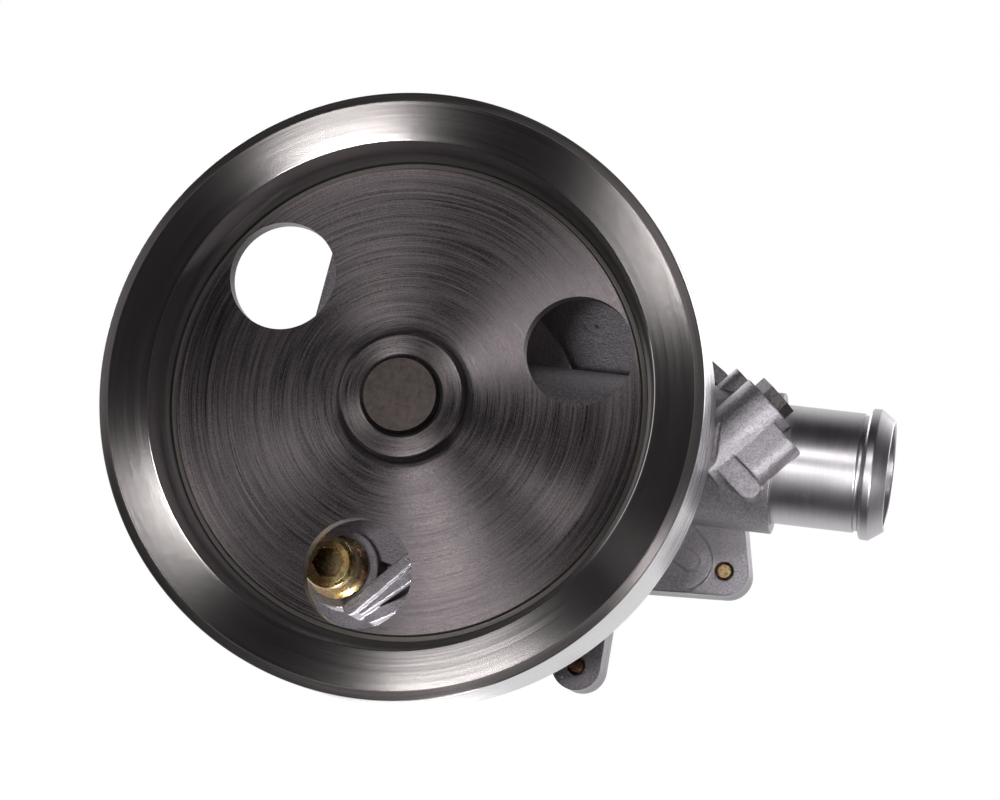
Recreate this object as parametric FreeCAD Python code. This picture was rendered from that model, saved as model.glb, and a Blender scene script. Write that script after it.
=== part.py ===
"""Automotive coolant pump with a flat-belt pulley, modelled piece by piece.

Millimetres. Origin: shaft axis at the engine face. +Y points into the engine, the pulley
is at negative Y, the outlet leaves towards +X and +Z is up.
"""
import FreeCAD, Part
import math
import os

V = FreeCAD.Vector
AXIS_Y = V(0, 1, 0)

# ---- pulley
RIM_Y = -75.0            # front plane of the rim
RIM_R = 62.0
RIM_WIDTH = 23.0
BAND_IN_R = 51.9         # inner edge of the polished front band
WEB_THICK = 4.3
WEB_HOLE_R = 11.25
WEB_HOLE_PCR = 36.8
WEB_HOLE_ANGLE = 14.4
HUB_R = 13.0

# ---- shaft and integral bearing
SHAFT_R = 7.959
TAIL_R = 6.0             # smaller shaft end that carries the impeller
SHAFT_FRONT_Y = RIM_Y + 1.3
SHAFT_STEP_Y = -26.0
SHAFT_END_Y = -6.0
RACE_R = 15.0
RACE_BORE_R = 12.1
RACE_Y = (-54.5, -26.5)
BALL_R = 2.75
BALL_PITCH_R = 10.3
BALL_Y = -48.0
BALL_COUNT = 8
GROOVE_R = 2.8
ROLLER_R = 2.0
ROLLER_PITCH_R = 10.01
ROLLER_LENGTH = 9.0
ROLLER_Y = -35.2
ROLLER_COUNT = 10

# ---- stations of the casting and the cover
NOSE_Y = -55.0
BODY_Y = -30.0           # front of the thick body behind the nose
FLANGE_Y = -23.5         # front of the flange and its ears
PARTING_Y = -17.0
GASKET = 0.6
COVER_Y = PARTING_Y + GASKET
COVER_FLANGE = 5.0
CHAMBER_END_Y = -4.5     # inner face of the cover's rear wall
CORE_R = 31.5

# ---- outlet duct and its pressed-in tube
DUCT_ANGLE = -7.8
DUCT_RISE = -0.4         # height of the duct's centre line above the shaft axis
DUCT_Y = -33.5
DUCT_R = 14.8
DUCT_BORE_R = 10.7
DUCT_END = 74.0
TUBE_START = 58.0
TUBE_END = 97.4
TUBE_R = 12.5
TUBE_BORE_R = 10.7
BEAD_R = 13.75

# ---- seal and impeller
SEAL_BORE_R = 14.6
SEAL_BORE_Y = -23.5
IMPELLER_R = 24.0
VANE_COUNT = 6
INLET_R = 14.0
O_RING_R = 18.5
O_RING_SECTION = 1.4

# ---- fasteners: centres as (x, z)
SCREW_R = 2.0
EAR_R = 5.2
EARS = [(60.8, -31.8), (29.2, -51.4), (-19.6, -46.2), (-15.0, 46.0), (29.5, 32.5), (57.7, 7.1)]
BOLT_R = 4.0
BOLT_HOLE_R = 4.5
BOLT_BOSS_R = 8.5
BOLT_SEAT_Y = -33.0
BOLT_END_Y = 17.0
BOLTS = [(-20.2, -30.8), (17.3, 32.5), (17.3, -32.5)]
DOWEL_R = 5.5
DOWEL_BORE_R = 4.6
DOWEL_Y = (-8.0, 7.0)
DOWEL_GROOVE = 0.6         # relief groove where a dowel leaves the cover
SHANK_R = 3.6              # bolt shank below its thread

# ---- slanted lug in front of the duct: u runs along the lug, v across it
LUG_ANGLE = 41.0
LUG_V = 47.0
LUG_Y = -45.5
LUG_R = 6.4
LUG_END = 55.2
LUG_SCREW_DEPTH = 4.5


def rod(radius, y0, y1, x=0.0, z=0.0):
    """Cylinder parallel to the shaft."""
    return Part.makeCylinder(radius, y1 - y0, V(x, y0, z), AXIS_Y)


def ring(outer, inner, y0, y1, x=0.0, z=0.0):
    return rod(outer, y0, y1, x, z).cut(rod(inner, y0 - 1, y1 + 1, x, z))


def turned(profile):
    """Solid turned about the shaft axis from (radius, y) corners."""
    corners = [V(r, y, 0) for r, y in profile]
    face = Part.Face(Part.makePolygon(corners + corners[:1]))
    return face.revolve(V(0, 0, 0), AXIS_Y, 360)


def fuse(shapes):
    return shapes[0].multiFuse(shapes[1:]).removeSplitter()


def hull(a, b, y0, y1):
    """Slab between two discs (x, z, radius), bounded by their outer tangents."""
    (ax, az, ar), (bx, bz, br) = a, b
    distance = math.hypot(bx - ax, bz - az)
    heading = math.atan2(bz - az, bx - ax)
    spread = math.acos((ar - br) / distance)

    def on(disc, angle):
        x, z, r = disc
        return V(x + r * math.cos(angle), y0, z + r * math.sin(angle))

    a_up, a_down = on(a, heading + spread), on(a, heading - spread)
    b_up, b_down = on(b, heading + spread), on(b, heading - spread)
    wire = Part.Wire([
        Part.Arc(a_up, on(a, heading + math.pi), a_down).toShape(),
        Part.LineSegment(a_down, b_down).toShape(),
        Part.Arc(b_down, on(b, heading), b_up).toShape(),
        Part.LineSegment(b_up, a_up).toShape(),
    ])
    return Part.Face(wire).extrude(V(0, y1 - y0, 0))


def hexagon(across_flats, height):
    """Hexagonal prism along +Y from the origin."""
    r = across_flats / math.sqrt(3)
    corners = [V(r * math.cos(math.radians(a)), 0, r * math.sin(math.radians(a)))
               for a in range(0, 361, 60)]
    return Part.Face(Part.makePolygon(corners)).extrude(V(0, height, 0))


def along(shape, angle, x, y, z):
    """Turns a shape built along +Y so that it points at an angle in the XZ plane."""
    direction = V(math.cos(math.radians(angle)), 0, math.sin(math.radians(angle)))
    moved = shape.copy()
    moved.Placement = FreeCAD.Placement(V(x, y, z), FreeCAD.Rotation(AXIS_Y, direction))
    return moved


def on_duct(shape, distance=0.0):
    """Places a shape built along +Y on the duct's centre line."""
    a = math.radians(DUCT_ANGLE)
    x = distance * math.cos(a) - DUCT_RISE * math.sin(a)
    z = distance * math.sin(a) + DUCT_RISE * math.cos(a)
    return along(shape, DUCT_ANGLE, x, DUCT_Y, z)


def on_lug(shape, u, v, y):
    """Places a shape built along +Y on a line parallel to the slanted lug."""
    a = math.radians(LUG_ANGLE)
    x = u * math.cos(a) + v * math.sin(a)
    z = u * math.sin(a) - v * math.cos(a)
    return along(shape, LUG_ANGLE, x, y, z)


def spaced(count, radius, start=0.0):
    """Evenly spaced (x, z) points on a circle about the shaft."""
    angles = [math.radians(start + 360.0 * i / count) for i in range(count)]
    return [(radius * math.cos(a), radius * math.sin(a)) for a in angles]


def outline(y0, y1):
    """The bolted outline that the casting, the gasket and the cover share."""
    core = (0, 0, CORE_R)
    ears = [(x, z, EAR_R) for x, z in EARS]
    left_bolt, top_bolt, low_bolt = [(x, z, BOLT_BOSS_R) for x, z in BOLTS]
    shoulder = (BOLTS[0][0], BOLTS[0][1], BOLT_BOSS_R + 3.0)
    pairs = [
        (core, ears[0]), (ears[0], ears[5]), (core, ears[5]), (ears[5], ears[4]),
        (core, ears[4]), (core, ears[3]), (ears[3], ears[4]), (core, top_bolt),
        (core, shoulder), (shoulder, ears[2]), (core, low_bolt), (left_bolt, low_bolt),
        (ears[2], (17.3, -38.0, BOLT_BOSS_R)), ((17.3, -38.0, BOLT_BOSS_R), low_bolt),
        ((27.0, -30.0, 11.0), ears[1]),
    ]
    return fuse([hull(a, b, y0, y1) for a, b in pairs])


def chamber(y0, y1, grow=0.0):
    """Spiral pump chamber and the channel that leads it to the outlet duct."""
    start, sweep, steps = 10.0, 320.0, 16
    points = []
    for i in range(steps + 1):
        a = math.radians(start - sweep * i / steps)
        r = IMPELLER_R + 1.6 + grow + 3.6 * i / steps
        points.append(V(r * math.cos(a), y0, r * math.sin(a)))
    spiral = Part.BSplineCurve()
    spiral.interpolate(points)
    closing = Part.LineSegment(points[-1], points[0]).toShape()
    snail = Part.Face(Part.Wire([spiral.toShape(), closing])).extrude(V(0, y1 - y0, 0))
    channel = hull((20, 12, 11 + grow), (50, -8, 12 + grow), y0, y1)
    return snail.fuse(channel)


def pulley():
    y = RIM_Y
    groove_r, web_in_r = 49.3, 15.6
    blank = turned([
        (SHAFT_R, y + 3.5), (SHAFT_R + 0.6, y + 2.9), (HUB_R - 0.5, y + 2.9), (HUB_R, y + 3.4),
        (HUB_R + 0.2, y + 4.8), (HUB_R + 1.0, y + 6.2), (web_in_r, y + 6.7),
        (48.1, y + 9.6), (48.3, y + 10.8), (groove_r, y + 10.8), (groove_r + 0.2, y + 9.6),
        (50.4, y + 8.8), (51.0, y + 7.6), (BAND_IN_R - 0.15, y + 0.2), (BAND_IN_R + 0.1, y),
        (RIM_R - 1.9, y - 0.75), (RIM_R - 0.2, y - 0.1), (RIM_R, y + 0.3),
        (RIM_R, y + RIM_WIDTH - 0.4), (RIM_R - 0.4, y + RIM_WIDTH),
        (56.6, y + RIM_WIDTH), (56.0, y + RIM_WIDTH - 0.6), (54.6, y + 16.4),
        (52.8, y + 14.6), (51.0, y + 14.2), (17.0, y + 6.8 + WEB_THICK),
        (14.6, y + 12.6), (HUB_R + 0.5, y + 17.4), (HUB_R, y + 18.0),
        (SHAFT_R + 0.6, y + 18.0), (SHAFT_R, y + 17.4),
    ])
    holes = []
    for x, z in spaced(3, WEB_HOLE_PCR, WEB_HOLE_ANGLE):
        holes.append(rod(WEB_HOLE_R, y, y + RIM_WIDTH, x, z))
    return blank.cut(Part.makeCompound(holes))


def bearing_shaft():
    body = turned([
        (0, SHAFT_FRONT_Y), (SHAFT_R - 0.5, SHAFT_FRONT_Y), (SHAFT_R, SHAFT_FRONT_Y + 0.5),
        (SHAFT_R, SHAFT_STEP_Y - 0.6), (SHAFT_R - 0.6, SHAFT_STEP_Y), (TAIL_R, SHAFT_STEP_Y),
        (TAIL_R, SHAFT_END_Y - 0.6), (TAIL_R - 0.6, SHAFT_END_Y), (0, SHAFT_END_Y),
    ])
    return body.cut(Part.makeTorus(BALL_PITCH_R, GROOVE_R, V(0, BALL_Y, 0), AXIS_Y))


def bearing_outer_race():
    y0, y1 = RACE_Y
    body = turned([
        (RACE_BORE_R, y0), (RACE_R - 0.6, y0), (RACE_R, y0 + 0.6),
        (RACE_R, y1 - 0.6), (RACE_R - 0.6, y1), (RACE_BORE_R, y1),
    ])
    return body.cut(Part.makeTorus(BALL_PITCH_R, GROOVE_R, V(0, BALL_Y, 0), AXIS_Y))


def ball_places():
    return [V(x, BALL_Y, z) for x, z in spaced(BALL_COUNT, BALL_PITCH_R, 11.0)]


def bearing_balls():
    return Part.makeCompound([Part.makeSphere(BALL_R, place) for place in ball_places()])


def ball_cage():
    cage = ring(11.6, 8.7, BALL_Y - 3.9, BALL_Y + 3.9)
    for place in ball_places():
        outwards = V(place.x, 0, place.z)
        cage = cage.cut(Part.makeCylinder(BALL_R + 0.15, 8.0, place - outwards * 0.4, outwards))
    return cage


def roller_places():
    return spaced(ROLLER_COUNT, ROLLER_PITCH_R, 9.0)


def bearing_rollers():
    y0, y1 = ROLLER_Y - ROLLER_LENGTH / 2, ROLLER_Y + ROLLER_LENGTH / 2
    return Part.makeCompound([rod(ROLLER_R, y0, y1, x, z) for x, z in roller_places()])


def roller_cage():
    half = ROLLER_LENGTH / 2
    body = ring(11.3, 8.7, ROLLER_Y - half - 1.4, ROLLER_Y + half + 1.4)
    pockets = [rod(ROLLER_R + 0.12, ROLLER_Y - half - 0.1, ROLLER_Y + half + 0.1, x, z)
               for x, z in roller_places()]
    return body.cut(Part.makeCompound(pockets))


def bearing_lip_seal(y0, outward):
    """Rubber lip seal in one end of the race; outward is the side of its lip."""
    lip_y = y0 + 0.9 + 0.7 * outward
    body = ring(RACE_BORE_R, 9.0, y0, y0 + 1.8)
    lip = turned([(SHAFT_R + 0.08, lip_y - 0.2), (SHAFT_R + 0.08, lip_y + 0.2),
                  (9.2, y0 + 1.5), (9.2, y0 + 0.3)])
    return fuse([body, lip])


def slinger():
    return turned([(TAIL_R, -25.6), (8.2, -25.6), (10.6, -26.0), (10.9, -25.7),
                   (8.6, -24.6), (TAIL_R, -24.4)])


def seal_cup():
    y0, y1 = SEAL_BORE_Y + 0.1, PARTING_Y
    return turned([
        (7.6, y0), (SEAL_BORE_R, y0), (SEAL_BORE_R, y1), (17.2, y1), (17.2, y1 + 1.0),
        (SEAL_BORE_R - 1.0, y1 + 1.0), (SEAL_BORE_R - 1.0, y0 + 0.9), (7.6, y0 + 0.9),
    ])


def seal_bellows():
    y0 = SEAL_BORE_Y + 1.0
    return turned([
        (7.6, y0), (13.6, y0), (13.6, y0 + 1.0), (9.6, y0 + 1.4), (9.0, y0 + 3.4),
        (9.8, y0 + 4.2), (9.0, y0 + 5.0), (9.0, y0 + 6.4), (11.6, y0 + 7.0), (11.6, y0 + 7.6),
        (7.6, y0 + 7.6), (7.6, y0 + 6.2), (7.9, y0 + 5.2), (7.3, y0 + 4.2), (7.6, y0 + 3.2),
    ])


def seal_spring():
    wire_r, coil_r, pitch, turns = 0.45, 12.4, 2.0, 2.25
    helix = Part.makeHelix(pitch, pitch * turns, coil_r)
    section = Part.Wire(Part.makeCircle(wire_r, V(coil_r, 0, 0), AXIS_Y))
    spring = Part.Wire(helix).makePipeShell([section], True, True)
    upright = FreeCAD.Rotation(V(0, 0, 1), AXIS_Y)
    spring.Placement = FreeCAD.Placement(V(0, SEAL_BORE_Y + 2.8, 0), upright)
    return spring


def carbon_ring():
    y0 = SEAL_BORE_Y + 8.6
    return turned([(7.6, y0), (11.4, y0), (11.4, y0 + 1.0), (10.0, y0 + 1.0),
                   (10.0, y0 + 2.15), (7.6, y0 + 2.15)])


def mating_ring():
    return ring(10.8, 7.2, -12.7, -9.9)


def mating_ring_cup():
    return turned([(7.2, -9.9), (10.8, -9.9), (10.8, -12.3), (12.4, -12.3),
                   (12.4, -9.1), (7.2, -9.1)])


def vane(start):
    """One backward-curved vane of even thickness, from the hub to the rim."""
    inner, outer, half = 13.2, IMPELLER_R - 0.4, 1.0
    curl, steps = 1.15, 5
    sides = []
    for side in (-1, 1):
        points = []
        for i in range(steps + 1):
            r = inner + (outer - inner) * i / steps
            a = math.radians(start) + curl * math.log(r / inner)
            lean = a + math.atan(curl) + side * math.pi / 2
            points.append(V(r * math.cos(a) + half * math.cos(lean), -11.6,
                            r * math.sin(a) + half * math.sin(lean)))
        curve = Part.BSplineCurve()
        curve.interpolate(points)
        sides.append((curve.toShape(), points))
    (edge_a, points_a), (edge_b, points_b) = sides
    wire = Part.Wire(Part.__sortEdges__([
        edge_a, Part.LineSegment(points_a[-1], points_b[-1]).toShape(),
        edge_b, Part.LineSegment(points_b[0], points_a[0]).toShape(),
    ]))
    return Part.Face(wire).extrude(V(0, 11.6 - 5.3, 0))


def impeller():
    body = turned([
        (8.5, -9.1), (12.4, -9.1), (12.4, -13.4), (14.4, -13.4), (15.2, -12.9),
        (IMPELLER_R, -12.9), (IMPELLER_R, -11.4), (15.0, -11.4), (14.2, -10.4),
        (13.8, -6.4), (12.8, -5.5), (8.5, -5.5),
    ])
    vanes = [vane(360.0 * i / VANE_COUNT) for i in range(VANE_COUNT)]
    return fuse([body] + vanes)


def impeller_bush():
    return turned([(TAIL_R, -9.1), (8.5, -9.1), (8.5, -5.5), (TAIL_R, -5.5)])


def outlet_tube():
    return on_duct(turned([
        (TUBE_BORE_R, TUBE_START), (TUBE_R - 0.3, TUBE_START), (TUBE_R, TUBE_START + 0.6),
        (TUBE_R, TUBE_END - 6.4), (TUBE_R - 0.4, TUBE_END - 6.1), (TUBE_R - 0.4, TUBE_END - 5.4),
        (BEAD_R - 0.3, TUBE_END - 5.0), (BEAD_R, TUBE_END - 4.6), (BEAD_R, TUBE_END - 3.0),
        (BEAD_R - 0.3, TUBE_END - 2.6), (TUBE_BORE_R + 0.9, TUBE_END),
        (TUBE_BORE_R + 0.3, TUBE_END), (TUBE_BORE_R, TUBE_END - 0.3),
    ]))


def lug():
    """Slanted twin boss and its tab, standing in front of the duct."""
    a = math.radians(LUG_ANGLE)
    across, forward = 7.3, 1.0
    far_x = across * math.sin(a) + forward * math.cos(a)
    far_z = forward * math.sin(a) - across * math.cos(a)
    root, short_end, second_root = 36.0, LUG_END - 2.2, 42.7
    stadium = hull((0, 0, 5.0), (far_x, far_z, 3.8), 0, short_end - second_root)
    first = on_lug(rod(LUG_R, 0, LUG_END - root), root, LUG_V, LUG_Y)
    second = on_lug(stadium, second_root, LUG_V + 1.0, LUG_Y)
    step = on_lug(rod(3.4, 0, LUG_END - root), root, LUG_V - 8.0, LUG_Y + 8.5)
    tab = hull((63.0, -11.5, 2.3), (68.4, -17.4, 2.3), -50.6, -38.0)
    return [first, second, step, tab]


def pump_housing():
    nose = turned([
        (0, NOSE_Y), (19.4, NOSE_Y), (20.2, NOSE_Y + 0.8), (21.2, -38.0), (23.4, BODY_Y),
        (23.4, PARTING_Y), (0, PARTING_Y),
    ])
    flank = hull((0, 0, CORE_R), (EARS[3][0], EARS[3][1], EAR_R), BODY_Y, FLANGE_Y + 1)
    body = hull((0, 0, CORE_R - 1.0), (52.0, -29.4, 6.4), FLANGE_Y - 1.6, FLANGE_Y + 1)
    duct = on_duct(rod(DUCT_R, 12.0, DUCT_END))
    bosses = [rod(BOLT_BOSS_R, BOLT_SEAT_Y, FLANGE_Y + 1, x, z) for x, z in BOLTS]
    ribs = [
        hull((-17.5, -39.6, 1.4), (4.0, -22.0, 1.1), -34.5, FLANGE_Y + 1),
        hull((-15.5, -39.5, 1.3), (8.0, -24.0, 1.1), -32.5, FLANGE_Y + 1),
        hull((-14.0, -41.0, 1.3), (10.0, -32.0, 1.1), -29.5, FLANGE_Y + 1),
        hull((17.3, 32.5, 1.5), (8.0, 12.0, 1.5), -35.0, FLANGE_Y + 1),
        hull((40.0, -20.0, 2.0), (54.0, -30.0, 2.0), -30.0, FLANGE_Y + 1),
    ]
    solid = fuse([outline(FLANGE_Y, PARTING_Y), nose, flank, body, duct] + bosses + ribs + lug())
    cuts = [
        rod(RACE_R, NOSE_Y - 1, RACE_Y[1]),
        rod(13.0, RACE_Y[1] - 1, SEAL_BORE_Y),
        rod(SEAL_BORE_R, SEAL_BORE_Y, PARTING_Y + 1),
        Part.makeCylinder(2.5, 40.0, V(0, -25.0, 0), V(0, 0, -1)),
        on_duct(rod(DUCT_BORE_R, 35.0, TUBE_START + 1)),
        on_duct(rod(TUBE_R, TUBE_START, DUCT_END + 1)),
        on_duct(rod(TUBE_R + 0.6, DUCT_END, TUBE_END)),
        hull((43.0, -6.0, 9.5), (52.0, -8.0, 9.5), DUCT_Y, PARTING_Y + 1),
    ]
    cuts += [rod(BOLT_HOLE_R, BOLT_SEAT_Y - 1, 0, x, z) for x, z in BOLTS]
    cuts += [rod(7.3, NOSE_Y, BOLT_SEAT_Y, x, z) for x, z in BOLTS]
    cuts.append(ring(RIM_R + 1.0, 30.0, RIM_Y, RIM_Y + RIM_WIDTH + 0.8))
    cuts += [rod(SCREW_R, FLANGE_Y - 0.4, 0, x, z) for x, z in EARS]
    cuts.append(on_lug(rod(SCREW_R, -LUG_SCREW_DEPTH, 1.0), LUG_END, LUG_V, LUG_Y))
    cuts.append(on_lug(rod(5.4, 0.0, 6.0), LUG_END, LUG_V, LUG_Y))
    for cut in cuts:
        solid = solid.cut(cut)
    return solid


def cover_gasket():
    plate = outline(PARTING_Y, COVER_Y)
    cuts = [chamber(PARTING_Y - 1, COVER_Y + 1)]
    cuts += [rod(BOLT_HOLE_R + 0.3, PARTING_Y - 1, 0, x, z) for x, z in BOLTS]
    cuts += [rod(SCREW_R + 0.4, PARTING_Y - 1, 0, x, z) for x, z in EARS]
    for cut in cuts:
        plate = plate.cut(cut)
    return plate


def rear_cover():
    shell = chamber(COVER_Y, 0.0, 3.6)
    bosses = [rod(BOLT_BOSS_R, COVER_Y, 0.0, x, z) for x, z in BOLTS]
    solid = fuse([outline(COVER_Y, COVER_Y + COVER_FLANGE), shell] + bosses)
    solid = solid.cut(chamber(COVER_Y - 1, CHAMBER_END_Y))
    solid = solid.cut(rod(INLET_R, CHAMBER_END_Y - 1, 1))
    solid = solid.cut(ring(O_RING_R + 1.5, O_RING_R - 1.5, -2.3, 1.0))
    for x, z in BOLTS:
        solid = solid.cut(rod(BOLT_HOLE_R, COVER_Y - 1, 1, x, z))
    for x, z in BOLTS[:2]:
        solid = solid.cut(rod(DOWEL_R, DOWEL_Y[0], 1, x, z))
    for x, z in EARS:
        solid = solid.cut(rod(SCREW_R + 0.25, COVER_Y - 1, 1, x, z))
        solid = solid.cut(rod(5.2, COVER_Y + COVER_FLANGE, 1, x, z))
    return solid


def inlet_o_ring():
    return Part.makeTorus(O_RING_R, O_RING_SECTION, V(0, -2.3 + O_RING_SECTION, 0), AXIS_Y)


def mounting_bolts():
    bolts = []
    head_y, flange_y = BOLT_SEAT_Y - 12.0, BOLT_SEAT_Y - 2.0
    thread_starts = [DOWEL_Y[1] + 0.4, DOWEL_Y[1] + 0.4, 0.4]
    for (x, z), thread_y in zip(BOLTS, thread_starts):
        bolt = turned([
            (0, head_y), (4.6, head_y), (5.4, head_y + 0.4), (5.7, head_y + 1.4),
            (5.7, flange_y - 1.0), (6.7, flange_y + 0.6), (6.7, BOLT_SEAT_Y),
            (SHANK_R, BOLT_SEAT_Y), (SHANK_R, thread_y), (BOLT_R, thread_y),
            (BOLT_R, BOLT_END_Y - 1.0), (BOLT_R - 1.0, BOLT_END_Y),
            (0, BOLT_END_Y),
        ])
        socket = hexagon(6.0, 6.0)
        socket.translate(V(0, head_y - 1.0, 0))
        bolt = bolt.cut(socket)
        bolt.translate(V(x, 0, z))
        bolts.append(bolt)
    return Part.makeCompound(bolts)


def locating_dowels():
    """Ring dowels with a relief groove at the cover's face and a lead-in chamfer."""
    y0, y1 = DOWEL_Y
    groove_r = DOWEL_R - 0.4
    sleeve = turned([
        (DOWEL_BORE_R, y0), (DOWEL_R, y0), (DOWEL_R, 0.0), (groove_r, 0.0),
        (groove_r, DOWEL_GROOVE), (DOWEL_R, DOWEL_GROOVE), (DOWEL_R, y1 - 0.4),
        (DOWEL_R - 0.3, y1), (DOWEL_BORE_R, y1),
    ])
    dowels = []
    for x, z in BOLTS[:2]:
        dowel = sleeve.copy()
        dowel.translate(V(x, 0, z))
        dowels.append(dowel)
    return Part.makeCompound(dowels)


def cover_screws():
    seat = COVER_Y + COVER_FLANGE
    screws = []
    for x, z in EARS:
        shank = turned([
            (0, FLANGE_Y + 0.3), (SCREW_R - 0.6, FLANGE_Y + 0.3), (SCREW_R, FLANGE_Y + 0.9),
            (SCREW_R, seat), (4.4, seat), (4.4, seat + 0.8), (3.2, seat + 1.3), (0, seat + 1.3),
        ])
        head = hexagon(7.0, 3.6)
        head.translate(V(0, seat, 0))
        screw = shank.fuse(head)
        screw.translate(V(x, 0, z))
        screws.append(screw)
    return Part.makeCompound(screws)


def lug_screw():
    shank = rod(SCREW_R, 0.3 - LUG_SCREW_DEPTH, 0.5)
    head = hexagon(8.0, 2.6)
    return on_lug(shank.fuse(head), LUG_END, LUG_V, LUG_Y)


PIECES = {
    "pulley": pulley,
    "bearing_shaft": bearing_shaft,
    "bearing_outer_race": bearing_outer_race,
    "bearing_balls": bearing_balls,
    "ball_cage": ball_cage,
    "bearing_rollers": bearing_rollers,
    "roller_cage": roller_cage,
    "front_lip_seal": lambda: bearing_lip_seal(RACE_Y[0] + 0.3, -1),
    "rear_lip_seal": lambda: bearing_lip_seal(RACE_Y[1] - 2.1, 1),
    "slinger": slinger,
    "seal_cup": seal_cup,
    "seal_bellows": seal_bellows,
    "seal_spring": seal_spring,
    "carbon_ring": carbon_ring,
    "mating_ring": mating_ring,
    "mating_ring_cup": mating_ring_cup,
    "impeller": impeller,
    "impeller_bush": impeller_bush,
    "pump_housing": pump_housing,
    "outlet_tube": outlet_tube,
    "lug_screw": lug_screw,
    "cover_gasket": cover_gasket,
    "rear_cover": rear_cover,
    "cover_screws": cover_screws,
    "inlet_o_ring": inlet_o_ring,
    "mounting_bolts": mounting_bolts,
    "locating_dowels": locating_dowels,
}

os.makedirs("parts", exist_ok=True)
for name, build in PIECES.items():
    shape = build()
    if not shape.isValid():
        raise ValueError(name + " is not a valid shape")
    print(name, len(shape.Solids), "solid(s)", round(shape.Volume, 1), "mm3")
    shape.exportStep("parts/" + name + ".step")
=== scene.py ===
"""Looks for the coolant pump: finishes, turned and cast surfaces, studio light and camera.

Metres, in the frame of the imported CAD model: the shaft is the Y axis, +Y points into the
engine, the pulley is at negative Y and the hose outlet leaves towards +X.
"""
import math

import bmesh
import bpy
from mathutils import Matrix, Vector


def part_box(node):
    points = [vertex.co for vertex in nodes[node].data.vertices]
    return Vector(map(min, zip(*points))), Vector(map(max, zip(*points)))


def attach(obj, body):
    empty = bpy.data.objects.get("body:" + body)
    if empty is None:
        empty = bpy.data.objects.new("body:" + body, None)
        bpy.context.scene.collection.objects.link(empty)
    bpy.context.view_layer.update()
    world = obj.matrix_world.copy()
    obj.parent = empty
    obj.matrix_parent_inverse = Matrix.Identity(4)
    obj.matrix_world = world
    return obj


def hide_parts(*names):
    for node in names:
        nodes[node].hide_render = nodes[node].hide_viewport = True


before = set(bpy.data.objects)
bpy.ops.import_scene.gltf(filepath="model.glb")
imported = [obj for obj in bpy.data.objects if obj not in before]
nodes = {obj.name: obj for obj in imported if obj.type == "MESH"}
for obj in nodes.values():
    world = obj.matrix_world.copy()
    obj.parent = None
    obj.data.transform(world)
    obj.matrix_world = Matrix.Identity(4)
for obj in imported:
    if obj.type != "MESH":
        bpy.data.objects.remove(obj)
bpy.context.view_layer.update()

MM = 0.001
TURN = 2 * math.pi
LATHE_STEPS = 288

# ---- the pulley's depths count from RIM_FRONT, and the rim's crest stands in front of it
RIM_CREST = 0.75 * MM
RIM_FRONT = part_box("pulley")[0].y + RIM_CREST
SHAFT_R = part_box("bearing_shaft")[1].x

# ---- the outlet duct: its tilt from +X, its offset from the shaft axis and its depth
DUCT_TILT = math.radians(-7.8)
DUCT_RISE = -0.4 * MM
DUCT_Y = -33.5 * MM


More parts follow.
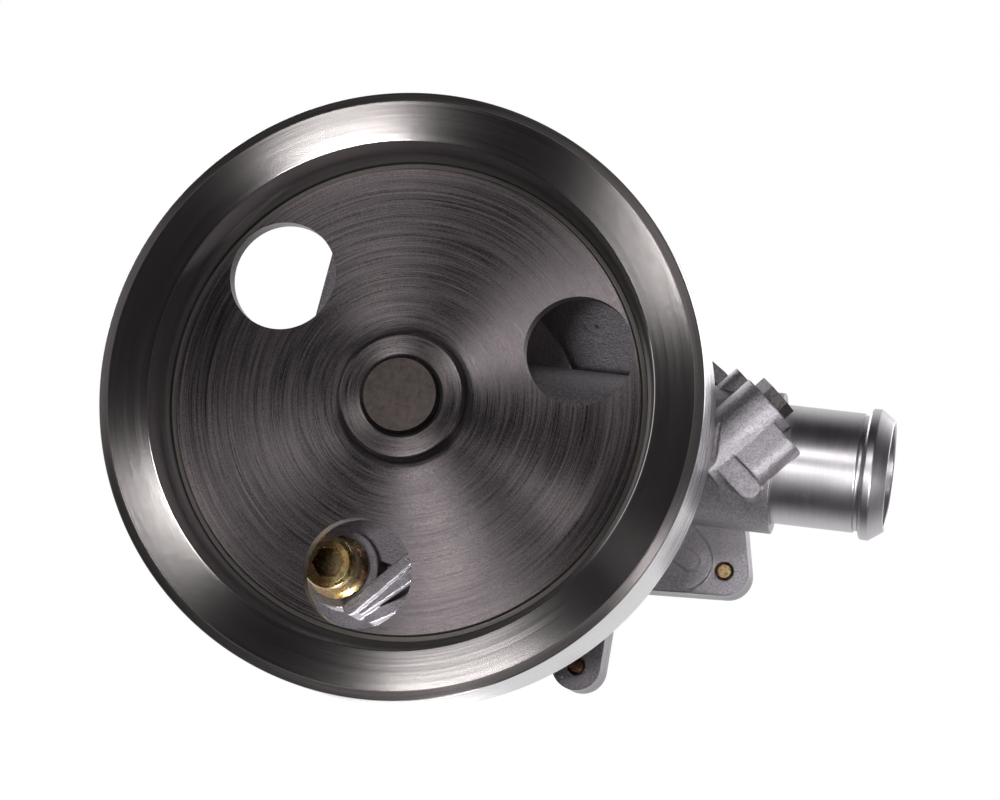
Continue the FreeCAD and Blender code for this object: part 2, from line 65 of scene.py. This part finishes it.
# ---------------------------------------------------------------- node helpers
class Nodes:
    """Short way to build a material's node tree."""

    def __init__(self, name):
        self.material = bpy.data.materials.new(name)
        self.material.use_nodes = True
        self.tree = self.material.node_tree
        self.shader = self.tree.nodes["Principled BSDF"]
        coords = self.add("ShaderNodeTexCoord")
        self.place = coords.outputs["Object"]

    def add(self, kind, **settings):
        node = self.tree.nodes.new(kind)
        for key, value in settings.items():
            setattr(node, key, value)
        return node

    def link(self, source, target):
        self.tree.links.new(source, target)

    def feed(self, target, value):
        """Puts a number, a colour or another node's output on an input."""
        if isinstance(value, bpy.types.NodeSocket):
            self.link(value, target)
        else:
            target.default_value = value

    def math(self, operation, a, b=0.0, c=0.0):
        node = self.add("ShaderNodeMath", operation=operation)
        for socket, value in zip(node.inputs, (a, b, c)):
            self.feed(socket, value)
        return node.outputs[0]

    def noise(self, scale, detail=3.0, rough=0.5, place=None):
        node = self.add("ShaderNodeTexNoise")
        node.inputs["Scale"].default_value = scale
        node.inputs["Detail"].default_value = detail
        node.inputs["Roughness"].default_value = rough
        self.link(place or self.place, node.inputs["Vector"])
        return node.outputs["Fac"]

    def ramp(self, value, stops):
        """Maps a number through (position, colour or grey) stops."""
        node = self.add("ShaderNodeValToRGB")
        elements = node.color_ramp.elements
        while len(elements) < len(stops):
            elements.new(0.5)
        for element, (at, colour) in zip(elements, stops):
            element.position = at
            grey = isinstance(colour, (int, float))
            element.color = (colour, colour, colour, 1) if grey else (*colour, 1)
        self.link(value, node.inputs["Fac"])
        return node.outputs["Color"]

    def span(self, value, low, high, from_low=0.3, from_high=0.7):
        """Rescales a number that mostly lies between from_low and from_high."""
        node = self.add("ShaderNodeMapRange")
        self.link(value, node.inputs["Value"])
        for key, number in (("From Min", from_low), ("From Max", from_high),
                            ("To Min", low), ("To Max", high)):
            self.feed(node.inputs[key], number)
        return node.outputs["Result"]

    def mix(self, factor, a, b):
        node = self.add("ShaderNodeMix", data_type="RGBA")
        self.feed(node.inputs["Factor"], factor)
        for socket, colour in ((node.inputs["A"], a), (node.inputs["B"], b)):
            value = colour if isinstance(colour, bpy.types.NodeSocket) else (*colour, 1)
            self.feed(socket, value)
        return node.outputs["Result"]

    def bump(self, height, distance, strength=1.0, normal=None):
        node = self.add("ShaderNodeBump")
        node.inputs["Strength"].default_value = strength
        node.inputs["Distance"].default_value = distance
        self.link(height, node.inputs["Height"])
        if normal:
            self.link(normal, node.inputs["Normal"])
        return node.outputs["Normal"]

    def soft_edges(self, radius):
        """Normal that rounds sharp edges by the radius."""
        node = self.add("ShaderNodeBevel", samples=6)
        node.inputs["Radius"].default_value = radius
        return node.outputs["Normal"]

    def radius(self, axis="Y"):
        """Distance from the object's own axis."""
        parts = self.add("ShaderNodeSeparateXYZ")
        self.link(self.place, parts.inputs[0])
        first, second = [parts.outputs[a] for a in "XYZ" if a != axis]
        return self.math("SQRT", self.math("ADD", self.math("MULTIPLY", first, first),
                                           self.math("MULTIPLY", second, second)))

    def arcs(self, where, lines, axis="Y", breaks=1.6):
        """Noise coordinates that make long arcs: lines across, and few breaks round the axis."""
        parts = self.add("ShaderNodeSeparateXYZ")
        self.link(self.place, parts.inputs[0])
        first, second = [parts.outputs[a] for a in "XYZ" if a != axis]
        radius = self.math("MAXIMUM", self.radius(axis), 0.0001)
        joined = self.add("ShaderNodeCombineXYZ")
        self.link(self.math("MULTIPLY", where, lines), joined.inputs[0])
        for socket, part in zip(joined.inputs[1:], (first, second)):
            self.link(self.math("MULTIPLY", self.math("DIVIDE", part, radius), breaks), socket)
        return joined.outputs[0]

    def depth(self, axis="Y"):
        parts = self.add("ShaderNodeSeparateXYZ")
        self.link(self.place, parts.inputs[0])
        return parts.outputs[axis]

    def finish(self, colour, roughness, metallic=1.0, normal=None, **sockets):
        value = colour if isinstance(colour, bpy.types.NodeSocket) else (*colour, 1)
        self.feed(self.shader.inputs["Base Color"], value)
        self.feed(self.shader.inputs["Roughness"], roughness)
        self.feed(self.shader.inputs["Metallic"], metallic)
        if normal:
            self.link(normal, self.shader.inputs["Normal"])
        for key, number in sockets.items():
            self.feed(self.shader.inputs[key.replace("_", " ")], number)
        return self.material


# ---------------------------------------------------------------- finishes
CAST_EDGE_R = 0.7 * MM
PLATED_EDGE_R = 0.25 * MM
THREAD_PITCH = 1.25 * MM
THREAD_START = 7.4 * MM
THREAD_BUMP = 1.1 * MM


def turned(name, tint, rough=0.3, lines=2600.0, groove=0.000004, spread=0.06, brushed=0.8,
           axis="Y", along=False, stain=0.3):
    """Lathe-turned metal: fine rings round the axis, and reflections drawn across them."""
    n = Nodes(name)
    where = n.depth(axis) if along else n.radius(axis)
    fine = n.noise(1.0, 3.0, 0.7, place=n.arcs(where, lines, axis))
    coarse = n.noise(1.0, 3.0, 0.6, place=n.arcs(where, lines * 0.2, axis))
    cloud = n.noise(38.0, 4.0, 0.6)
    rings = n.math("ADD", n.math("MULTIPLY", fine, 0.75), n.math("MULTIPLY", coarse, 0.25))
    grit = n.noise(3200.0, 2.0, 0.6)
    blotch = n.math("MULTIPLY_ADD", grit, 0.6, n.math("MULTIPLY", cloud, 0.4))
    shade = n.math("ADD", n.math("MULTIPLY", rings, 0.65), n.math("MULTIPLY", blotch, 0.35))
    dark = tuple(c * (1 - stain) for c in tint)
    light = tuple(min(1.0, c * (1 + stain)) for c in tint)
    colour = n.mix(n.span(shade, 0.0, 1.0, 0.38, 0.62), dark, light)
    tangent = n.add("ShaderNodeTangent", direction_type="RADIAL", axis=axis)
    n.link(tangent.outputs[0], n.shader.inputs["Tangent"])
    return n.finish(colour, n.span(rings, rough - spread, rough + spread, 0.38, 0.62),
                    normal=n.bump(rings, groove), Anisotropic=brushed, Anisotropic_Rotation=0.25)


def cast(name, tint, rough=0.43, grain=0.00030):
    """Sand-cast aluminium: fine grain, soft mottling and darker hollows."""
    n = Nodes(name)
    sand = n.noise(2300.0, 3.0, 0.6)
    lumps = n.noise(520.0, 3.0, 0.55)
    cloud = n.noise(70.0, 4.0, 0.6)
    dark = tuple(c * 0.52 for c in tint)
    colour = n.mix(n.span(n.math("MULTIPLY_ADD", cloud, 0.3, n.math("MULTIPLY", sand, 0.7)),
                          0.0, 1.0, 0.38, 0.62), dark, tint)
    height = n.math("MULTIPLY_ADD", lumps, 0.5, n.math("MULTIPLY", sand, 0.5))
    return n.finish(colour, n.span(cloud, rough - 0.07, rough + 0.09), metallic=0.88,
                    normal=n.bump(height, grain, normal=n.soft_edges(CAST_EDGE_R)))


def ground(name, tint, rough=0.26, scratch=0.00002):
    """Ground or drawn metal with fine scratches and faint discolouring."""
    n = Nodes(name)
    stretch = n.add("ShaderNodeMapping")
    stretch.inputs["Scale"].default_value = (1.0, 9.0, 1.0)
    n.link(n.place, stretch.inputs["Vector"])
    lines = n.noise(900.0, 3.0, 0.6, place=stretch.outputs[0])
    cloud = n.noise(120.0, 4.0, 0.6)
    dark = tuple(c * 0.72 for c in tint)
    colour = n.mix(n.span(cloud, 0.0, 1.0, 0.38, 0.64), dark, tint)
    return n.finish(colour, n.span(lines, rough - 0.06, rough + 0.08),
                    normal=n.bump(lines, scratch))


def plated(name, threaded=False):
    """Yellow-passivated zinc: brown and olive-gold with pink tints, and a clear shine."""
    n = Nodes(name)
    tints = n.noise(110.0, 2.0, 0.5)
    film = n.ramp(tints, [(0.34, (0.17, 0.085, 0.035)), (0.46, (0.38, 0.24, 0.095)),
                          (0.54, (0.30, 0.25, 0.11)), (0.66, (0.40, 0.21, 0.14))])
    wear = n.noise(900.0, 3.0, 0.6)
    normal = n.bump(wear, 0.000006, normal=n.soft_edges(PLATED_EDGE_R))
    if threaded:
        along = n.depth()
        ridge = n.math("PINGPONG", n.math("DIVIDE", along, THREAD_PITCH), 0.5)
        cut = n.math("GREATER_THAN", along, THREAD_START)
        normal = n.bump(n.math("MULTIPLY", ridge, cut), THREAD_BUMP, normal=normal)
    return n.finish(film, n.span(wear, 0.20, 0.34), normal=normal)


def moulded(name, tint, rough=0.5, grain=0.00003, metallic=0.0, speck=0.25):
    """Rubber, plastic, carbon or fibre: fine grain and a little mottling."""
    n = Nodes(name)
    fine = n.noise(1600.0, 3.0, 0.6)
    cloud = n.noise(180.0, 3.0, 0.55)
    dark = tuple(c * (1 - speck) for c in tint)
    colour = n.mix(n.span(n.math("MULTIPLY_ADD", cloud, 0.5, n.math("MULTIPLY", fine, 0.5)),
                          0.0, 1.0, 0.4, 0.6), dark, tint)
    return n.finish(colour, n.span(fine, rough - 0.06, rough + 0.08), metallic=metallic,
                    normal=n.bump(fine, grain))


FINISHES = {
    "rim_lip": turned("rim_lip", (0.15, 0.135, 0.135), rough=0.40, lines=5000, spread=0.05),
    "rim_band": turned("rim_band", (0.74, 0.69, 0.68), rough=0.17, lines=7000,
                       groove=0.0000012, spread=0.02, brushed=0.97, stain=0.1),
    "rim_wall": turned("rim_wall", (0.40, 0.375, 0.38), rough=0.30, lines=6000,
                       groove=0.0000004, spread=0.02, stain=0.1),
    "web_groove": turned("web_groove", (0.10, 0.09, 0.085), rough=0.45, lines=3000),
    "web_face": turned("web_face", (0.140, 0.122, 0.126), rough=0.40, lines=7500,
                       groove=0.000006, spread=0.10, brushed=0.93, stain=0.75),
    "hub_face": turned("hub_face", (0.125, 0.109, 0.112), rough=0.36, lines=7000, stain=0.6),
    "belt_face": turned("belt_face", (0.60, 0.585, 0.60), rough=0.28, lines=3200, along=True,
                        groove=0.000002, brushed=0.6, stain=0.12),
    "hole_wall": ground("hole_wall", (0.24, 0.22, 0.22), rough=0.4),
    "ground_steel": ground("ground_steel", (0.108, 0.089, 0.086), rough=0.36),
    "bearing_steel": ground("bearing_steel", (0.58, 0.57, 0.58), rough=0.14),
    "tube_steel": turned("tube_steel", (0.47, 0.45, 0.47), rough=0.37, lines=3600, along=True,
                         spread=0.04, brushed=0.25, stain=0.10),
    "spring_steel": ground("spring_steel", (0.5, 0.49, 0.5), rough=0.22),
    "black_steel": moulded("black_steel", (0.13, 0.12, 0.125), rough=0.30, metallic=0.9,
                           grain=0.000002),
    "yellow_zinc": plated("yellow_zinc"),
    "threaded_zinc": plated("threaded_zinc", threaded=True),
    "cast_aluminium": cast("cast_aluminium", (0.31, 0.289, 0.313)),
    "seal_brass": ground("seal_brass", (0.66, 0.48, 0.24), rough=0.27),
    "cage_nylon": moulded("cage_nylon", (0.46, 0.36, 0.22), rough=0.45),
    "impeller_plastic": moulded("impeller_plastic", (0.035, 0.035, 0.038), rough=0.42),
    "carbon": moulded("carbon", (0.05, 0.05, 0.055), rough=0.33, metallic=0.25),
    "ceramic_white": moulded("ceramic_white", (0.78, 0.76, 0.70), rough=0.25, speck=0.06),
    "nitrile": moulded("nitrile", (0.025, 0.025, 0.027), rough=0.48),
    "gasket_fibre": moulded("gasket_fibre", (0.20, 0.24, 0.20), rough=0.8, speck=0.4),
}

NODE_FINISH = {
    "bearing_shaft": "ground_steel",
    "bearing_outer_race": "bearing_steel",
    "bearing_balls": "bearing_steel",
    "bearing_rollers": "bearing_steel",
    "ball_cage": "cage_nylon",
    "roller_cage": "cage_nylon",
    "front_lip_seal": "nitrile",
    "rear_lip_seal": "nitrile",
    "slinger": "nitrile",
    "seal_cup": "seal_brass",
    "seal_bellows": "nitrile",
    "seal_spring": "spring_steel",
    "carbon_ring": "carbon",
    "mating_ring": "ceramic_white",
    "mating_ring_cup": "nitrile",
    "impeller": "impeller_plastic",
    "impeller_bush": "seal_brass",
    "pump_housing": "cast_aluminium",
    "outlet_tube": "tube_steel",
    "lug_screw": "black_steel",
    "cover_gasket": "gasket_fibre",
    "rear_cover": "cast_aluminium",
    "cover_screws": "yellow_zinc",
    "inlet_o_ring": "nitrile",
    "mounting_bolts": "threaded_zinc",
    "locating_dowels": "tube_steel",
    "pulley": "belt_face",
}
for node_name, finish_name in NODE_FINISH.items():
    slots = nodes[node_name].data.materials
    slots.clear()
    slots.append(FINISHES[finish_name])


# ---------------------------------------------------------------- mesh helpers
def corner(previous, point, following, radius, steps=5):
    """Points of a small arc that rounds one corner of a profile."""
    a, b, c = Vector(previous), Vector(point), Vector(following)
    reach = min(radius, (a - b).length * 0.45, (c - b).length * 0.45)
    start = b + (a - b).normalized() * reach
    end = b + (c - b).normalized() * reach
    return [tuple(start.lerp(b, t).lerp(b.lerp(end, t), t))
            for t in (i / steps for i in range(steps + 1))]


def lathe(name, profile, closed=True, steps=LATHE_STEPS):
    """Turns (radius, y, rounding, finish) corners about Y; each finish runs to the next corner."""
    points, finishes = [], []
    count = len(profile)
    for i, (r, y, rounding, finish) in enumerate(profile):
        before, after = profile[i - 1], profile[(i + 1) % count]
        if rounding:
            arc = corner(before[:2], (r, y), after[:2], rounding)
        else:
            arc = [(r, y)]
        points += arc
        finishes += [finish] * len(arc)
    names = sorted(set(finishes))
    bm = bmesh.new()
    rings = []
    for r, y in points:
        rings.append([bm.verts.new((r * math.cos(TURN * k / steps), y,
                                    r * math.sin(TURN * k / steps))) for k in range(steps)])
    for i in range(len(rings) if closed else len(rings) - 1):
        ring, after = rings[i], rings[(i + 1) % len(rings)]
        for k in range(steps):
            face = bm.faces.new((ring[k], ring[(k + 1) % steps],
                                 after[(k + 1) % steps], after[k]))
            face.material_index = names.index(finishes[i])
            face.smooth = True
    bmesh.ops.recalc_face_normals(bm, faces=bm.faces)
    mesh = bpy.data.meshes.new(name)
    bm.to_mesh(mesh)
    bm.free()
    obj = bpy.data.objects.new(name, mesh)
    bpy.context.collection.objects.link(obj)
    for finish in names:
        mesh.materials.append(FINISHES[finish])
    return obj


def apply_modifiers(obj):
    graph = bpy.context.evaluated_depsgraph_get()
    mesh = bpy.data.meshes.new_from_object(obj.evaluated_get(graph))
    obj.modifiers.clear()
    obj.data = mesh


def drill(obj, holes, finish):
    """Cuts (x, z, radius, y0, y1) round holes through obj; their walls get a finish."""
    obj.data.materials.append(FINISHES[finish])
    for x, z, radius, y0, y1 in holes:
        cutter = lathe("cutter", [(0.0, y0, 0, finish), (radius, y0, 0, finish),
                                  (radius, y1, 0, finish), (0.0, y1, 0, finish)], closed=False,
                       steps=96)
        bm = bmesh.new()
        bm.from_mesh(cutter.data)
        bmesh.ops.remove_doubles(bm, verts=bm.verts, dist=1e-7)
        bmesh.ops.recalc_face_normals(bm, faces=bm.faces)
        bm.to_mesh(cutter.data)
        bm.free()
        cutter.location = (x, 0, z)
        bpy.context.view_layer.update()
        cut = obj.modifiers.new("cut", "BOOLEAN")
        cut.operation = "DIFFERENCE"
        cut.solver = "EXACT"
        cut.material_mode = "TRANSFER"
        cut.object = cutter
        apply_modifiers(obj)
        bpy.data.objects.remove(cutter)


def sharpen(obj, degrees):
    """Smooth shading with a crisp break at edges steeper than the angle."""
    bm = bmesh.new()
    bm.from_mesh(obj.data)
    for face in bm.faces:
        face.smooth = True
    for edge in bm.edges:
        edge.smooth = len(edge.link_faces) == 2 and edge.calc_face_angle() < math.radians(degrees)
    bm.to_mesh(obj.data)
    bm.free()


# ---------------------------------------------------------------- pulley
WEB_HOLE_R = 11.25 * MM
WEB_HOLE_PCR = 36.8 * MM
WEB_HOLE_ANGLE = math.radians(14.4)


def pulley():
    """The turned pulley with rounded edges and a finish for each turned zone."""
    corners = [
        (SHAFT_R / MM, 3.5, 0, "rim_lip"), (SHAFT_R / MM + 0.6, 2.9, 0.15, "hub_face"),
        (12.5, 2.9, 0.3, "hub_face"), (13.0, 3.4, 0.3, "hub_face"),
        (13.2, 4.8, 0.5, "hub_face"), (14.0, 6.2, 0.6, "web_face"),
        (15.6, 6.7, 0.8, "web_face"), (48.1, 9.6, 0.12, "web_groove"),
        (48.3, 10.8, 0.1, "web_groove"), (49.3, 10.8, 0.1, "web_groove"),
        (49.5, 9.6, 0.15, "rim_wall"), (50.4, 8.8, 0.5, "rim_wall"),
        (51.0, 7.6, 0.6, "rim_wall"), (51.75, 0.2, 0.12, "rim_wall"),
        (52.0, 0.0, 0.12, "rim_band"), (60.1, -0.75, 0.15, "rim_lip"),
        (61.8, -0.1, 0.25, "rim_lip"), (62.0, 0.3, 0.2, "belt_face"),
        (62.0, 22.6, 0.2, "belt_face"), (61.6, 23.0, 0.2, "rim_lip"),
        (56.6, 23.0, 0.3, "rim_lip"), (56.0, 22.4, 0.3, "rim_lip"),
        (54.6, 16.4, 0.6, "rim_lip"), (52.8, 14.6, 0.6, "web_face"),
        (51.0, 14.2, 0.6, "web_face"), (17.0, 11.1, 1.0, "hub_face"),
        (14.6, 12.6, 0.8, "hub_face"), (13.5, 17.4, 0.3, "hub_face"),
        (13.0, 18.0, 0.2, "hub_face"), (SHAFT_R / MM + 0.6, 18.0, 0, "hub_face"),
        (SHAFT_R / MM, 17.4, 0, "hub_face"),
    ]
    profile = [(r * MM, RIM_FRONT + y * MM, rounding * MM, finish)
               for r, y, rounding, finish in corners]
    obj = lathe("pulley_turned", profile)
    holes = []
    for i in range(3):
        angle = WEB_HOLE_ANGLE + TURN * i / 3
        holes.append((WEB_HOLE_PCR * math.cos(angle), WEB_HOLE_PCR * math.sin(angle),
                      WEB_HOLE_R, RIM_FRONT + 2 * MM, RIM_FRONT + 20 * MM))
    drill(obj, holes, "hole_wall")
    sharpen(obj, 32)
    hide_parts("pulley")
    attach(obj, "rotor")


pulley()


# ---------------------------------------------------------------- outlet tube
def outlet_tube():
    """Drawn tube with a rolled bead, a groove behind it and a chamfered mouth.

    Corners are (radius, place along the tube, rounding) in millimetres.
    """
    start, end = 58.0, 97.4
    corners = [
        (10.7, start, 0), (12.2, start, 0.1), (12.5, start + 0.6, 0.1), (12.5, end - 6.4, 0.2),
        (12.1, end - 6.1, 0.15), (12.1, end - 5.4, 0.15), (13.4, end - 5.0, 0.3),
        (13.75, end - 4.6, 0.4), (13.75, end - 3.0, 0.4), (13.45, end - 2.6, 0.2),
        (11.6, end, 0.2), (11.0, end, 0.1), (10.7, end - 0.3, 0.1),
    ]
    obj = lathe("outlet_tube_drawn", [(r * MM, y * MM, rounding * MM, "tube_steel")
                                      for r, y, rounding in corners], steps=192)
    direction = Vector((math.cos(DUCT_TILT), 0, math.sin(DUCT_TILT)))
    turn = Vector((0, 1, 0)).rotation_difference(direction)
    lift = Vector((-math.sin(DUCT_TILT), 0, math.cos(DUCT_TILT))) * DUCT_RISE
    place = lift + Vector((0, DUCT_Y, 0))
    obj.matrix_world = Matrix.Translation(place) @ turn.to_matrix().to_4x4()
    sharpen(obj, 32)
    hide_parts("outlet_tube")
    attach(obj, "housing")


outlet_tube()


# ---------------------------------------------------------------- studio
def area_light(name, place, target, size, power, spread):
    """A soft light that the camera doesn't see; spread is its beam in degrees."""
    data = bpy.data.lights.new(name, "AREA")
    data.spread = math.radians(spread)
    data.shape = "RECTANGLE"
    data.size, data.size_y = size
    data.energy = power
    light = bpy.data.objects.new(name, data)
    bpy.context.collection.objects.link(light)
    light.location = place
    aim = Vector(target) - Vector(place)
    light.rotation_euler = aim.to_track_quat("-Z", "Y").to_euler()
    light.visible_camera = False


FLOOR_Z = -0.16
FLOOR_SIZE = 6.0
FLOOR_GLOW = 0.7
DARK_UP_TO = -0.15    # Y of a reflected direction: dark in front, white behind the pump
WHITE_FROM = 0.62

# points that the lights aim at
PUMP_MIDDLE = (0, -0.07, 0)
RIBS = (-0.035, -0.045, -0.04)
TUBE = (0.085, -0.0335, -0.012)
LIGHTS = [
    # name, place, target, size, power in watts, beam in degrees
    ("side_light", (0.114, -0.63, 0.19), PUMP_MIDDLE, (0.15, 0.10), 0.72, 180),
    ("low_light", (-0.06, -0.66, -0.11), PUMP_MIDDLE, (0.10, 0.07), 0.78, 180),
    ("under_light", (0.01, -0.045, -0.13), RIBS, (0.06, 0.03), 0.12, 60),
    ("rear_left", (-0.60, 0.55, 0.50), PUMP_MIDDLE, (0.6, 0.6), 7.0, 180),
    ("rear_right", (0.65, 0.60, 0.25), PUMP_MIDDLE, (0.5, 0.5), 2.5, 180),
    ("left_fill", (-0.70, -0.35, 0.25), PUMP_MIDDLE, (0.5, 0.5), 0.8, 180),
    ("tube_light", (0.20, -0.25, -0.13), TUBE, (0.05, 0.05), 0.026, 30),
]


def floor_paper():
    """Pale floor below the pump, kept out of the metal's reflections."""
    bpy.ops.mesh.primitive_plane_add(size=FLOOR_SIZE, location=(0, 0, FLOOR_Z))
    floor = bpy.context.object
    floor.name = "floor"
    floor.visible_glossy = False
    n = Nodes("floor_paper")
    speck = n.noise(300.0, 2.0)
    paper = n.mix(speck, (0.80, 0.80, 0.80), (0.84, 0.84, 0.84))
    n.link(paper, n.shader.inputs["Emission Color"])
    floor.data.materials.append(n.finish(paper, 0.7, metallic=0.0, Emission_Strength=FLOOR_GLOW))


def surroundings():
    """White to the camera; reflections see it dark in front of the pump and white behind it."""
    world = bpy.data.worlds.new("studio")
    world.use_nodes = True
    bpy.context.scene.world = world
    tree = world.node_tree
    coords = tree.nodes.new("ShaderNodeTexCoord")
    parts = tree.nodes.new("ShaderNodeSeparateXYZ")
    reach = tree.nodes.new("ShaderNodeMapRange")
    reach.inputs["From Min"].default_value = DARK_UP_TO
    reach.inputs["From Max"].default_value = WHITE_FROM
    behind = tree.nodes.new("ShaderNodeValToRGB")
    sides = behind.color_ramp.elements.new(0.2)
    sides.color = (0.10, 0.10, 0.105, 1)
    behind.color_ramp.elements[0].color = (0.010, 0.009, 0.010, 1)
    behind.color_ramp.elements[2].color = (1, 1, 1, 1)
    seen = tree.nodes.new("ShaderNodeLightPath")
    shade = tree.nodes.new("ShaderNodeMix")
    shade.data_type = "RGBA"
    shade.inputs["B"].default_value = (1.0, 1.0, 1.0, 1)
    tree.links.new(coords.outputs["Generated"], parts.inputs[0])
    tree.links.new(parts.outputs["Y"], reach.inputs["Value"])
    tree.links.new(reach.outputs["Result"], behind.inputs["Fac"])
    tree.links.new(behind.outputs["Color"], shade.inputs["A"])
    tree.links.new(seen.outputs["Is Camera Ray"], shade.inputs["Factor"])
    tree.links.new(shade.outputs["Result"], tree.nodes["Background"].inputs["Color"])


floor_paper()
surroundings()
for light_row in LIGHTS:
    area_light(*light_row)

bpy.context.scene.view_settings.view_transform = "Standard"


# ---------------------------------------------------------------- camera
LENS = 134.0
CAMERA_DISTANCE = 0.75
CAMERA_FROM_RIM = (0.1797, -1.0, -0.1504)
CAMERA_AIM = (-0.1513, 1.0, 0.1479)


def camera():
    """Looks at the rim from a little to the right of the shaft axis and a little below it."""
    data = bpy.data.cameras.new("camera")
    data.sensor_width = 36.0
    data.lens = LENS
    data.clip_start, data.clip_end = 0.01, 20
    obj = bpy.data.objects.new("camera", data)
    bpy.context.collection.objects.link(obj)
    rim_centre = Vector((0, RIM_FRONT, 0))
    obj.location = rim_centre + CAMERA_DISTANCE * Vector(CAMERA_FROM_RIM).normalized()
    obj.rotation_euler = Vector(CAMERA_AIM).to_track_quat("-Z", "Y").to_euler()
    bpy.context.scene.camera = obj


camera()
